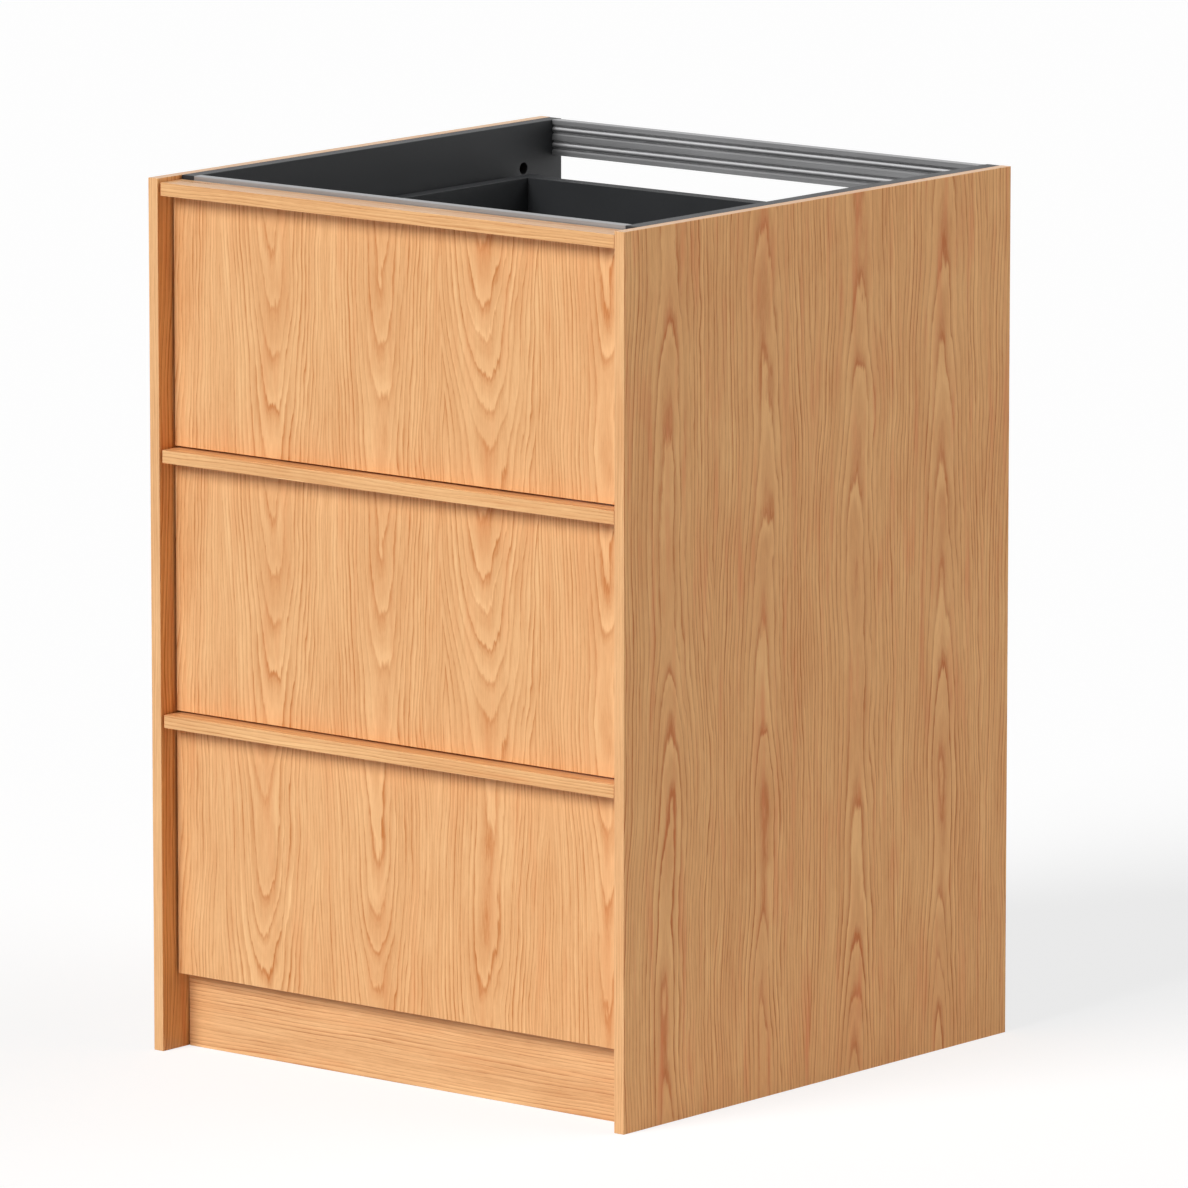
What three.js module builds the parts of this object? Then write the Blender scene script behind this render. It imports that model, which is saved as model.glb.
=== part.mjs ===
// Kitchen base cabinet with three drawers, built as a maker would put it together: a carcass of
// anthracite board between two oak cover panels, aluminium rails across the top, drawers on
// ball bearing runners, oak fronts with a grip ledge each, a plinth board and levelling feet.
//
// Millimetres, +Z up. The origin is on the floor, at the middle of the cabinet's width and depth.
// The fronts face -Y.

import * as THREE from "three";

// ---- Driving dimensions -------------------------------------------------------------------

const WIDTH = 600;
const DEPTH = 600;
const HEIGHT = 870;
const COVER_T = 12; // oak cover panels
const BOARD_T = 16; // carcass and drawer boards
const OAK_T = 13; // fronts, grip ledges and plinth board

const CARCASS_SETBACK = 36; // front edge of the carcass behind the cover panels' front edge
const CARCASS_REAR_GAP = 2;
const LEG_ROOM = 80; // floor to underside of the carcass

const DRAWERS = 3;
const FRONT_PITCH = 264;
const FRONT_GAP = 2; // round each front and between two fronts
const TOP_CLEARANCE = 4; // uppermost ledge below the top of the cabinet
const LEDGE_SETBACK = 2;
const LEDGE_DEPTH = 32;

const BOX_TOP_DROP = 45; // drawer box below the top of its ledge
const BOX_HEIGHT = 180;
const BOX_LENGTH = 500;
const BACK_INSET = 8; // the drawer's sides run past its back
const FLOOR_T = 8; // drawer bottom
const FLOOR_LIFT = 12; // drawer bottom above the sides' lower edge
const GROOVE_DEPTH = 8;
const GROOVE_PLAY = 0.4;

const RUNNER_SPACE = 13;
const RUNNER_LENGTH = 500;
const RUNNER_LIFT = 60; // runner's middle above the drawer sides' lower edge
const RUNNER_SETBACK = 2;
const SHEET_T = 1.4; // steel of the runners

const RAIL_HEIGHT = 36;
const RAIL_T = 10.5;
const RAIL_REAR_GAP = 4; // rear rail before the carcass's rear edge

const HOLE_D = 12;
const HOLE_FROM_TOP = 45;
const HOLE_FROM_REAR = 60;

const BRACE_HEIGHT = 100;

const PLINTH_SETBACK = 38;
const PLINTH_HEIGHT = 78;
const PLINTH_END_GAP = 1;

const FOOT_X = 232;
const FRONT_FOOT_Y = -190;
const REAR_FOOT_Y = 240;
const FOOT_PLATE_R = 30;
const FOOT_PLATE_T = 4;
const SLEEVE_R = 16;
const SLEEVE_LOW = 36; // lower end of the socket's sleeve above the floor
const SLEEVE_BORE_R = 10.5;
const STEM_R = 10;
const STEM_TOP = 60;
const PAD_R = 26;
const PAD_RIM = 5;
const PAD_TOP = 12;

const CLIP_HEIGHT = 16;
const CLIP_LIFT = 48; // clip's lower edge above the floor
const CLIP_T = 3;
const CLIP_HALF_W = 20;
const CLIP_PLAY = 0.4;
const CLIP_MOUTH = 40; // degrees behind the foot's middle at which the clip's arms end

const CURVE_STEPS = 24; // steps in a round hole or arc
const TURNED_SIDES = 28; // sides of a turned piece

// ---- Places worked out from them ----------------------------------------------------------

const FRONT_Y = -DEPTH / 2;
const REAR_Y = DEPTH / 2;
const CARCASS_FRONT_Y = FRONT_Y + CARCASS_SETBACK;
const CARCASS_REAR_Y = REAR_Y - CARCASS_REAR_GAP;
const SIDE_OUTER_X = WIDTH / 2 - COVER_T;
const SIDE_INNER_X = SIDE_OUTER_X - BOARD_T;
const FRONT_HALF_W = SIDE_OUTER_X - FRONT_GAP;
const LEDGE_REAR_Y = FRONT_Y + LEDGE_SETBACK + LEDGE_DEPTH;
const BOX_OUTER_X = SIDE_INNER_X - RUNNER_SPACE;
const BOX_INNER_X = BOX_OUTER_X - BOARD_T;
const BOX_REAR_Y = LEDGE_REAR_Y + BOX_LENGTH;
const BACK_REAR_Y = BOX_REAR_Y - BACK_INSET;
const BACK_FRONT_Y = BACK_REAR_Y - BOARD_T;
const BOX_FRONT_REAR_Y = LEDGE_REAR_Y + BOARD_T;
const RUNNER_FRONT_Y = CARCASS_FRONT_Y + RUNNER_SETBACK;
const RUNNER_MIDDLE_Y = RUNNER_FRONT_Y + RUNNER_LENGTH / 2;
const LEDGE_TOP_Z = HEIGHT - TOP_CLEARANCE;
const PLINTH_REAR_Y = FRONT_Y + PLINTH_SETBACK + OAK_T;

// ---- Materials ----------------------------------------------------------------------------

const finish = (color, roughness, metalness) =>
  new THREE.MeshStandardMaterial({ color, roughness, metalness });

const oak = () => finish(0xe9b482, 0.5, 0);
const anthracite = () => finish(0x3b3c3e, 0.6, 0);
const aluminium = () => finish(0xb2b2b1, 0.35, 1);
const zincedSteel = () => finish(0xa4a8ab, 0.4, 1);
const blackPlastic = () => finish(0x1c1c1d, 0.55, 0);

// ---- Shapes -------------------------------------------------------------------------------

const cabinet = new THREE.Group();

function add(name, geometry, material, parent = cabinet) {
  const mesh = new THREE.Mesh(geometry, material);
  mesh.name = name;
  parent.add(mesh);
  return mesh;
}

// A flat board from its lowest corner to its highest.
function board(name, low, high, material, parent) {
  const size = high.map((value, i) => value - low[i]);
  const mesh = add(name, new THREE.BoxGeometry(...size), material, parent);
  mesh.position.set(...low.map((value, i) => value + size[i] / 2));
  return mesh;
}

function outline(points) {
  return new THREE.Shape(points.map(([a, b]) => new THREE.Vector2(a, b)));
}

function extruded(shape, length) {
  const options = { depth: length, bevelEnabled: false, curveSegments: CURVE_STEPS };
  return new THREE.ExtrudeGeometry(shape, options).translate(0, 0, -length / 2);
}

// An outline drawn in (y, z), seen from the right, run along X about x = 0.
function alongX(shape, length) {
  const turn = new THREE.Matrix4().makeBasis(
    new THREE.Vector3(0, 1, 0),
    new THREE.Vector3(0, 0, 1),
    new THREE.Vector3(1, 0, 0),
  );
  return extruded(shape, length).applyMatrix4(turn);
}

// An outline drawn in (x, z), seen from the front, run along Y about y = 0.
function alongY(shape, length) {
  const turn = new THREE.Matrix4().makeBasis(
    new THREE.Vector3(1, 0, 0),
    new THREE.Vector3(0, 0, 1),
    new THREE.Vector3(0, -1, 0),
  );
  return extruded(shape, length).applyMatrix4(turn);
}

// A profile of (radius, z) turned about Z.
function turned(profile) {
  const points = profile.map(([r, z]) => new THREE.Vector2(r, z));
  return new THREE.LatheGeometry(points, TURNED_SIDES).rotateX(Math.PI / 2);
}

const SIDES = [
  ["left", -1],
  ["right", 1],
];

// ---- Cover panels and carcass -------------------------------------------------------------

function coverPanels() {
  for (const [hand, sign] of SIDES) {
    const panel = board(
      `${hand}_cover_panel`,
      [-COVER_T / 2, FRONT_Y, 0],
      [COVER_T / 2, REAR_Y, HEIGHT],
      oak(),
    );
    panel.position.x = sign * (SIDE_OUTER_X + COVER_T / 2);
  }
}

// A carcass side stands on no floor: the feet carry it. One hole goes through it near the top
// rear corner.
function carcassSides() {
  for (const [hand, sign] of SIDES) {
    const shape = outline([
      [CARCASS_FRONT_Y, LEG_ROOM],
      [CARCASS_REAR_Y, LEG_ROOM],
      [CARCASS_REAR_Y, HEIGHT],
      [CARCASS_FRONT_Y, HEIGHT],
    ]);
    const hole = new THREE.Path();
    hole.absarc(
      CARCASS_REAR_Y - HOLE_FROM_REAR,
      HEIGHT - HOLE_FROM_TOP,
      HOLE_D / 2,
      0,
      2 * Math.PI,
    );
    shape.holes.push(hole);
    const side = add(`${hand}_side_panel`, alongX(shape, BOARD_T), anthracite());
    side.position.x = sign * (SIDE_INNER_X + BOARD_T / 2);
  }
}

function carcassBoards() {
  board(
    "bottom_panel",
    [-SIDE_INNER_X, CARCASS_FRONT_Y, LEG_ROOM],
    [SIDE_INNER_X, CARCASS_REAR_Y, LEG_ROOM + BOARD_T],
    anthracite(),
  );
  const braceLow = LEG_ROOM + BOARD_T;
  board(
    "rear_brace",
    [-SIDE_INNER_X, CARCASS_REAR_Y - BOARD_T, braceLow],
    [SIDE_INNER_X, CARCASS_REAR_Y, braceLow + BRACE_HEIGHT],
    anthracite(),
  );
}

// ---- Aluminium rails ----------------------------------------------------------------------

// The extrusion's section in (y, z), with its grooved face at y = 0 towards -Y, its plain face
// at y = RAIL_T and its top at z = 0. Each groove has bevelled lips and a half-round rib.
function railShape() {
  const grooveHalf = 5.4;
  const lip = 2.2;
  const root = 2.6;
  const ribHalf = grooveHalf - lip;
  const ribReach = 2.5;
  const ribSteps = 8;
  const grooves = [-10, -26];
  const points = [[0, 0]];
  for (const middle of grooves) {
    points.push([0, middle + grooveHalf]);
    for (let i = 0; i <= ribSteps; i++) {
      const angle = (Math.PI * i) / ribSteps;
      const out = ribReach * Math.sin(angle);
      points.push([root - out, middle + ribHalf * Math.cos(angle)]);
    }
    points.push([0, middle - grooveHalf]);
  }
  points.push([0, -RAIL_HEIGHT], [RAIL_T, -RAIL_HEIGHT], [RAIL_T, 0]);
  return outline(points);
}

function rails() {
  const length = 2 * SIDE_INNER_X;
  const rear = add("rear_rail", alongX(railShape(), length), aluminium());
  rear.position.set(0, CARCASS_REAR_Y - RAIL_REAR_GAP - RAIL_T, HEIGHT);
  // The front rail is the same extrusion, turned so that its plain face is at the front.
  const front = add("front_rail", alongX(railShape(), length), aluminium());
  front.rotation.z = Math.PI;
  front.position.set(0, CARCASS_FRONT_Y + RAIL_T, HEIGHT);
}

// ---- Plinth, feet and clips ---------------------------------------------------------------

function plinth() {
  const halfWidth = SIDE_OUTER_X - PLINTH_END_GAP;
  board(
    "plinth_board",
    [-halfWidth, PLINTH_REAR_Y - OAK_T, 0],
    [halfWidth, PLINTH_REAR_Y, PLINTH_HEIGHT],
    oak(),
  );
}

function footSocket() {
  const plateLow = LEG_ROOM - FOOT_PLATE_T;
  return turned([
    [0, plateLow],
    [SLEEVE_BORE_R, plateLow],
    [SLEEVE_BORE_R, SLEEVE_LOW],
    [SLEEVE_R, SLEEVE_LOW],
    [SLEEVE_R, plateLow],
    [FOOT_PLATE_R, plateLow],
    [FOOT_PLATE_R, LEG_ROOM],
    [0, LEG_ROOM],
  ]);
}

function footLeg() {
  const ease = 1;
  const collarR = STEM_R + 3;
  return turned([
    [0, 0],
    [PAD_R - ease, 0],
    [PAD_R, ease],
    [PAD_R, PAD_RIM],
    [collarR, PAD_TOP],
    [STEM_R, PAD_TOP],
    [STEM_R, STEM_TOP - ease],
    [STEM_R - ease, STEM_TOP],
    [0, STEM_TOP],
  ]);
}

// The clip's outline in plan, about the foot's middle: a plate on the plinth board, a web and a
// ring that snaps round the foot's sleeve from the front.
function plinthClip(plateFrontY) {
  const inner = SLEEVE_R + CLIP_PLAY;
  const outer = inner + CLIP_T;
  const webHalf = CLIP_T / 2;
  const mouth = THREE.MathUtils.degToRad(CLIP_MOUTH);
  const web = Math.asin(webHalf / outer);
  const ringFront = -outer * Math.cos(web);
  const plateRearY = plateFrontY + CLIP_T;
  const shape = outline([
    [-CLIP_HALF_W, plateFrontY],
    [CLIP_HALF_W, plateFrontY],
    [CLIP_HALF_W, plateRearY],
    [webHalf, plateRearY],
    [webHalf, ringFront],
  ]);
  shape.absarc(0, 0, outer, -Math.PI / 2 + web, mouth, false);
  shape.absarc(0, 0, inner, mouth, Math.PI - mouth, true);
  shape.absarc(0, 0, outer, Math.PI - mouth, 1.5 * Math.PI - web, false);
  shape.lineTo(-webHalf, plateRearY);
  shape.lineTo(-CLIP_HALF_W, plateRearY);
  return extruded(shape, CLIP_HEIGHT);
}

function feet() {
  for (const [row, y] of [["front", FRONT_FOOT_Y], ["rear", REAR_FOOT_Y]]) {
    for (const [hand, sign] of SIDES) {
      const foot = new THREE.Group();
      foot.position.set(sign * FOOT_X, y, 0);
      cabinet.add(foot);
      add(`foot_socket_${row}_${hand}`, footSocket(), blackPlastic(), foot);
      add(`foot_leg_${row}_${hand}`, footLeg(), blackPlastic(), foot);
      if (row === "front") {
        const plateFrontY = PLINTH_REAR_Y - y;
        const geometry = plinthClip(plateFrontY);
        const clip = add(`plinth_clip_${hand}`, geometry, blackPlastic(), foot);
        clip.position.z = CLIP_LIFT + CLIP_HEIGHT / 2;
      }
    }
  }
}

// ---- Runners ------------------------------------------------------------------------------

// A pressed steel channel seen from its front end, in (x, z): its web stands at x = web, its
// flanges reach to x = edge at z = +-half, and their edges turn in by curl.
function channel(web, edge, half, curl) {
  const towards = Math.sign(edge - web);
  const t = SHEET_T;
  const inside = edge - towards * t;
  const upper = [
    [web, half],
    [edge, half],
    [edge, half - curl],
    [inside, half - curl],
    [inside, half - t],
    [web + towards * t, half - t],
  ];
  const lower = upper.map(([x, z]) => [x, -z]).reverse();
  const points = [...upper, ...lower];
  return outline(towards > 0 ? points.reverse() : points);
}

// A runner's three members, from the carcass side at x = 0 to the drawer side at x = 13, with
// half heights that leave room for the balls between them.
const RUNNER_MEMBERS = [
  { name: "cabinet_runner", web: 0, edge: 9.4, half: 22.5, curl: 3.2 },
  { name: "middle_runner", web: 2.6, edge: 10.8, half: 18.2, curl: 2.8 },
  { name: "drawer_runner", web: RUNNER_SPACE, edge: 5.4, half: 14, curl: 2.6 },
];

function runners(number, middleZ) {
  for (const [hand, sign] of SIDES) {
    for (const { name, web, edge, half, curl } of RUNNER_MEMBERS) {
      // Distances from the carcass side become distances from the runner's own middle plane.
      const place = (distance) => -sign * (distance - RUNNER_SPACE / 2);
      const shape = channel(place(web), place(edge), half, curl);
      const geometry = alongY(shape, RUNNER_LENGTH);
      const member = add(`${name}_${number}_${hand}`, geometry, zincedSteel());
      const x = sign * (SIDE_INNER_X - RUNNER_SPACE / 2);
      member.position.set(x, RUNNER_MIDDLE_Y, middleZ);
    }
  }
}

// ---- Drawers ------------------------------------------------------------------------------

// A drawer board's section with the groove for the bottom panel cut in its inner face. Across
// the board, 0 is the outer face and BOARD_T is the inner one; z = 0 is its lower edge.
function groovedSection(toOutline) {
  const grooveLow = FLOOR_LIFT - GROOVE_PLAY / 2;
  const grooveHigh = FLOOR_LIFT + FLOOR_T + GROOVE_PLAY / 2;
  const points = [
    [0, 0],
    [BOARD_T, 0],
    [BOARD_T, grooveLow],
    [BOARD_T - GROOVE_DEPTH, grooveLow],
    [BOARD_T - GROOVE_DEPTH, grooveHigh],
    [BOARD_T, grooveHigh],
    [BOARD_T, BOX_HEIGHT],
    [0, BOX_HEIGHT],
  ];
  return outline(points.map(([across, z]) => [toOutline(across), z]));
}

function drawerBox(number, lowZ) {
  for (const [hand, sign] of SIDES) {
    const section = groovedSection((across) => sign * (BOX_OUTER_X - across));
    const geometry = alongY(section, BOX_LENGTH);
    const side = add(`drawer_${number}_${hand}_side`, geometry, anthracite());
    side.position.set(0, LEDGE_REAR_Y + BOX_LENGTH / 2, lowZ);
  }
  const between = 2 * BOX_INNER_X;
  const frontSection = groovedSection((across) => LEDGE_REAR_Y + across);
  const frontGeometry = alongX(frontSection, between);
  const boxFront = add(`drawer_${number}_box_front`, frontGeometry, anthracite());
  boxFront.position.z = lowZ;
  const backSection = groovedSection((across) => BACK_REAR_Y - across);
  const back = add(`drawer_${number}_back`, alongX(backSection, between), anthracite());
  back.position.z = lowZ;

  const reach = GROOVE_DEPTH - GROOVE_PLAY;
  board(
    `drawer_${number}_bottom`,
    [-BOX_INNER_X - reach, BOX_FRONT_REAR_Y - reach, lowZ + FLOOR_LIFT],
    [BOX_INNER_X + reach, BACK_FRONT_Y + reach, lowZ + FLOOR_LIFT + FLOOR_T],
    anthracite(),
  );
}

function drawerFront(number, topZ) {
  board(
    `drawer_${number}_grip_ledge`,
    [-FRONT_HALF_W, LEDGE_REAR_Y - LEDGE_DEPTH, topZ - OAK_T],
    [FRONT_HALF_W, LEDGE_REAR_Y, topZ],
    oak(),
  );
  board(
    `drawer_${number}_front`,
    [-FRONT_HALF_W, LEDGE_REAR_Y - OAK_T, topZ - FRONT_PITCH + FRONT_GAP],
    [FRONT_HALF_W, LEDGE_REAR_Y, topZ - OAK_T],
    oak(),
  );
}

function drawers() {
  for (let number = 1; number <= DRAWERS; number++) {
    const topZ = LEDGE_TOP_Z - (number - 1) * FRONT_PITCH;
    const boxLow = topZ - BOX_TOP_DROP - BOX_HEIGHT;
    drawerFront(number, topZ);
    drawerBox(number, boxLow);
    runners(number, boxLow + RUNNER_LIFT);
  }
}

coverPanels();
carcassSides();
carcassBoards();
rails();
plinth();
feet();
drawers();

export default cabinet;
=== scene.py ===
"""Kitchen base cabinet with three drawers: oak cover panels, fronts and grip ledges on an
anthracite carcass, with aluminium rails across the open top. Metres, +Z up, fronts face -Y."""

import math

import bmesh
import bpy
from mathutils import Matrix, Vector


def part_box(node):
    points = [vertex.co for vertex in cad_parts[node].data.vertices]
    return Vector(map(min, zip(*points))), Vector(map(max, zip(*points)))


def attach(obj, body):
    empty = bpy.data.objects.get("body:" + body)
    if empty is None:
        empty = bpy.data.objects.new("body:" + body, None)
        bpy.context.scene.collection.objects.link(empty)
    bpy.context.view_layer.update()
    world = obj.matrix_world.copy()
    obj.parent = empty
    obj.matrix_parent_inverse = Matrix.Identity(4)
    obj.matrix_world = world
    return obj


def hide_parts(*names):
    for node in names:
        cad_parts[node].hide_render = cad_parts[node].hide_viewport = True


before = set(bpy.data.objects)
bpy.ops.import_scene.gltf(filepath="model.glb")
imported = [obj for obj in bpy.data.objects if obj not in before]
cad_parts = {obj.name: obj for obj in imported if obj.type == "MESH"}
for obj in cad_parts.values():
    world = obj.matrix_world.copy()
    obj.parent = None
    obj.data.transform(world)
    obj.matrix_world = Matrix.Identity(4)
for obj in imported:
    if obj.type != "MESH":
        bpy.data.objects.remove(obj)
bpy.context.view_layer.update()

# ---- Viewpoint ----------------------------------------------------------------------------
# A long lens about eleven metres away, to the right of the fronts and a little above them, so
# that the fronts, the right cover panel and the open top all show.

VIEW_AZIMUTH = 39.464
VIEW_ELEVATION = 9.941

lens = bpy.data.cameras.new("lens")
lens.sensor_width = 36
lens.lens = 333.03
lens.clip_end = 100
viewpoint = bpy.data.objects.new("viewpoint", lens)
viewpoint.location = (6.79031, -8.22815, 2.32012)
viewpoint.rotation_euler = (
    math.radians(90 - VIEW_ELEVATION),
    0,
    math.radians(VIEW_AZIMUTH),
)
bpy.context.scene.collection.objects.link(viewpoint)
bpy.context.scene.camera = viewpoint

# ---- Studio -------------------------------------------------------------------------------
# A room with pale walls, a dimmer ceiling and a matt floor. A large soft lamp stands low in
# front of the cabinet and a weaker one behind it to the right. Seen directly or in the metal,
# the room and the floor are white, and the floor keeps the cabinet's shadow.

WALL_TOP = 0.2
CEILING_LOW = 0.8
WALL_LIGHT = 0.10
CEILING_LIGHT = 0.07
FLOOR_REACH = 40
FLOOR_PALE = 0.62
FLOOR_SEEN = 0.35
FLOOR_GLOW = 0.73
FLOOR_ROUGH = 0.9
WHITE = (1, 1, 1, 1)
LAMPS = (
    {"name": "front lamp", "light": 2.68, "width": 30, "height": 33.0, "side": -10},
    {"name": "rear lamp", "light": 1.34, "width": 60, "height": 26, "side": 130},
)


def feed(owner, node, sockets):
    """Gives each socket of the node its value, or a link from another node."""
    for socket, value in sockets.items():
        if isinstance(value, bpy.types.NodeSocket):
            owner.node_tree.links.new(value, node.inputs[socket])
        else:
            node.inputs[socket].default_value = value


def wire(owner, kind, sockets=None, **settings):
    """A node of that kind for the owner, which is a material or the room."""
    node = owner.node_tree.nodes.new("ShaderNode" + kind)
    for setting, value in settings.items():
        setattr(node, setting, value)
    feed(owner, node, sockets or {})
    return node


def calc(owner, operation, *values):
    return wire(owner, "Math", dict(enumerate(values)), operation=operation).outputs[0]


def new_material(name):
    material = bpy.data.materials.new(name)
    material.use_nodes = True
    return material, material.node_tree.nodes["Principled BSDF"]


scene = bpy.context.scene
scene.view_settings.view_transform = "Standard"

room = bpy.data.worlds.new("room")
room.use_nodes = True
scene.world = room
heading = wire(room, "TexCoord").outputs["Generated"]
level = wire(room, "MapRange", {
    "Value": wire(room, "SeparateXYZ", {0: heading}).outputs["Z"],
    "From Min": WALL_TOP,
    "From Max": CEILING_LOW,
    "To Min": WALL_LIGHT,
    "To Max": CEILING_LIGHT,
}, interpolation_type="SMOOTHSTEP")
rays = wire(room, "LightPath").outputs
light = calc(room, "MAXIMUM", level.outputs["Result"], rays["Is Camera Ray"])
light = calc(room, "MAXIMUM", light, rays["Is Glossy Ray"])
feed(room, room.node_tree.nodes["Background"], {"Color": WHITE, "Strength": light})

for setting in LAMPS:
    lamp = bpy.data.lights.new(setting["name"], "SUN")
    lamp.energy = setting["light"]
    lamp.angle = math.radians(setting["width"])
    stand = bpy.data.objects.new(setting["name"], lamp)
    stand.rotation_euler = (
        math.radians(90 - setting["height"]),
        0,
        math.radians(setting["side"]),
    )
    scene.collection.objects.link(stand)

floor_shape = bmesh.new()
bmesh.ops.create_grid(floor_shape, x_segments=1, y_segments=1, size=FLOOR_REACH)
floor_mesh = bpy.data.meshes.new("floor")
floor_shape.to_mesh(floor_mesh)
floor_shape.free()
floor = bpy.data.objects.new("floor", floor_mesh)
scene.collection.objects.link(floor)
floor_paint, floor_face = new_material("pale floor")
rays = wire(floor_paint, "LightPath").outputs
seen = calc(floor_paint, "MAXIMUM", rays["Is Camera Ray"], rays["Is Glossy Ray"])
paleness = wire(floor_paint, "MapRange", {
    "Value": seen,
    "To Min": FLOOR_PALE,
    "To Max": FLOOR_SEEN,
})
feed(floor_paint, floor_face, {
    "Base Color": paleness.outputs["Result"],
    "Roughness": FLOOR_ROUGH,
    "Specular IOR Level": 0,
    "Emission Color": WHITE,
    "Emission Strength": calc(floor_paint, "MULTIPLY", seen, FLOOR_GLOW),
})
floor_mesh.materials.append(floor_paint)

# ---- Cover panels -------------------------------------------------------------------------
# Oak veneered panels, 12 mm thick, that stand on the floor on both sides of the carcass. Each
# face is a row of crown cut veneer leaves side by side, and the edges have an oak band.


def add_all(material, start, *shares):
    """start plus each (value, weight) of shares."""
    total = start
    for value, weight in shares:
        total = calc(material, "MULTIPLY_ADD", value, weight, total)
    return total


def tint(material, share, first, second):
    sockets = {0: share, 6: first, 7: second}
    return wire(material, "Mix", sockets, data_type="RGBA").outputs[2]


NOISE_SPREAD = 3.0


def streaks(material, place, across, along, seed, detail=2.0):
    """Streaks of about across by along metres, from about -1 to 1 round 0."""
    stretched = wire(material, "Mapping", {
        "Vector": place,
        "Location": (seed, seed, seed),
        "Scale": (1 / across, 1 / across, 1 / along),
    })
    noise = wire(material, "TexNoise", {
        "Vector": stretched.outputs[0],
        "Scale": 1.0,
        "Detail": detail,
    })
    return calc(material, "MULTIPLY_ADD", noise.outputs[0], NOISE_SPREAD, -NOISE_SPREAD / 2)


def between(material, value, low, high):
    """0 up to low, 1 from high on, and even between them."""
    sockets = {"Value": value, "From Min": low, "From Max": high}
    return wire(material, "MapRange", sockets, clamp=True).outputs[0]


def grain_place(material, turn, origin=(0, 0, 0)):
    """Where a point is from the board's origin: X across the grain, Y through, Z along it."""
    point = wire(material, "TexCoord").outputs["Object"]
    moved = wire(material, "Mapping", {
        "Vector": point,
        "Location": [-part for part in origin],
    })
    turned = wire(material, "Mapping", {"Vector": moved.outputs[0], "Rotation": turn})
    return turned.outputs[0]


YEAR_SHADES = (
    (0.0, 0.30), (0.11, 1.0), (0.24, 0.66), (0.42, 0.42),
    (0.66, 0.33), (0.88, 0.24), (1.0, 0.20),
)
EVEN_SHADE = 0.42
RING_UNEVEN = 0.4


def oak_finish(material, shader, place, ring, crown, seed, tone):
    """Lacquered oak, from each point's distance to the heart of the log. Each year's ring
    starts with a line of dark, porous early wood and grows paler to the next line; fine lines
    run with the rings, and fibres and pores run with the board. The crown, from 0 to 1, is
    where the rings close in a plume: their lines are widest and reddest there."""
    squeeze = wire(material, "CombineXYZ", {0: ring, 1: seed})
    uneven = streaks(material, squeeze.outputs[0], 0.015, 1.0, seed, detail=1.0)
    year = calc(
        material,
        "MULTIPLY",
        add_all(material, ring, (uneven, RING_UNEVEN * tone["ring"])),
        1 / tone["ring"],
    )
    phase = calc(material, "FRACT", year)
    number = calc(material, "FLOOR", year)
    good_year = wire(material, "TexWhiteNoise", {"W": number}, noise_dimensions="1D")
    band = wire(material, "ValToRGB", {"Fac": phase})
    ramp = band.color_ramp
    ramp.interpolation = "EASE"
    for spot, value in YEAR_SHADES:
        stop = ramp.elements[0] if spot == 0.0 else ramp.elements.new(spot)
        if spot == 1.0:
            ramp.elements.remove(stop)
            stop = ramp.elements[-1]
        stop.color = (value, value, value, 1)

    # Patches, lines and pores of all sizes, along the board or along its rings.
    along = wire(material, "SeparateXYZ", {0: place}).outputs[2]
    with_rings = wire(material, "CombineXYZ", {0: ring, 1: seed, 2: along}).outputs[0]
    patch = streaks(material, place, 0.018, 0.10, seed + 3)
    cloud = streaks(material, place, 0.05, 0.24, seed + 11)
    blush = streaks(material, place, 0.012, 0.15, seed + 15)
    zone = streaks(material, with_rings, 0.011, 0.22, seed + 17)
    strand = streaks(material, with_rings, 0.0022, 0.12, seed + 19)
    fibre = streaks(material, place, 0.0011, 0.020, seed + 29)
    cells = streaks(material, place, 0.00045, 0.007, seed + 37, detail=1.0)
    early = calc(material, "POWER", calc(material, "SUBTRACT", 1.0, phase), 2.0)
    pores = calc(
        material,
        "MULTIPLY",
        between(material, cells, 0.15, 0.45),
        add_all(material, 0.25, (early, 0.75)),
    )

    # A few good years have strong lines, and most have faint ones.
    good = calc(material, "POWER", good_year.outputs[0], 1.6)
    contrast = add_all(material, 0.28, (good, 0.66), (patch, 0.26), (zone, 0.22), (crown, 0.12))
    contrast = calc(material, "MAXIMUM", contrast, 0.04)
    contrast = calc(material, "MULTIPLY", contrast, tone["contrast"])
    above = calc(material, "SUBTRACT", band.outputs[0], EVEN_SHADE)
    line = calc(material, "MULTIPLY", above, contrast)

    depth_of_tone = add_all(
        material,
        0.36,
        (line, 1.0),
        (strand, 0.23),
        (fibre, 0.14),
        (patch, 0.12),
        (cloud, 0.12),
        (pores, 0.17),
    )
    share = between(material, depth_of_tone, 0.0, 1.0)
    colour = tint(material, share, tone["pale"], tone["line"])
    closing = calc(material, "MULTIPLY", crown, band.outputs[0])
    blushing = between(material, blush, 0.1, 0.9)
    redness = add_all(material, 0.0, (blushing, tone["blush"]), (closing, 0.22))
    colour = tint(material, redness, colour, tone["red"])
    height = add_all(material, 0.0, (pores, -0.7), (fibre, 0.3))
    relief = wire(material, "Bump", {"Height": height, "Strength": 0.2, "Distance": 0.0003})
    feed(material, shader, {
        "Base Color": colour,
        "Roughness": add_all(material, 0.30, (strand, 0.04), (pores, 0.18), (cloud, 0.03)),
        "Specular IOR Level": 0.25,
        "Normal": relief.outputs[0],
    })
    return material


LEAF_SWAY = 0.030
LEAF_DIP = 0.020
CROWN_EDGE = 0.014
CROWN_CORE = 0.002
LEAVES_APART = 3.7


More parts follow.
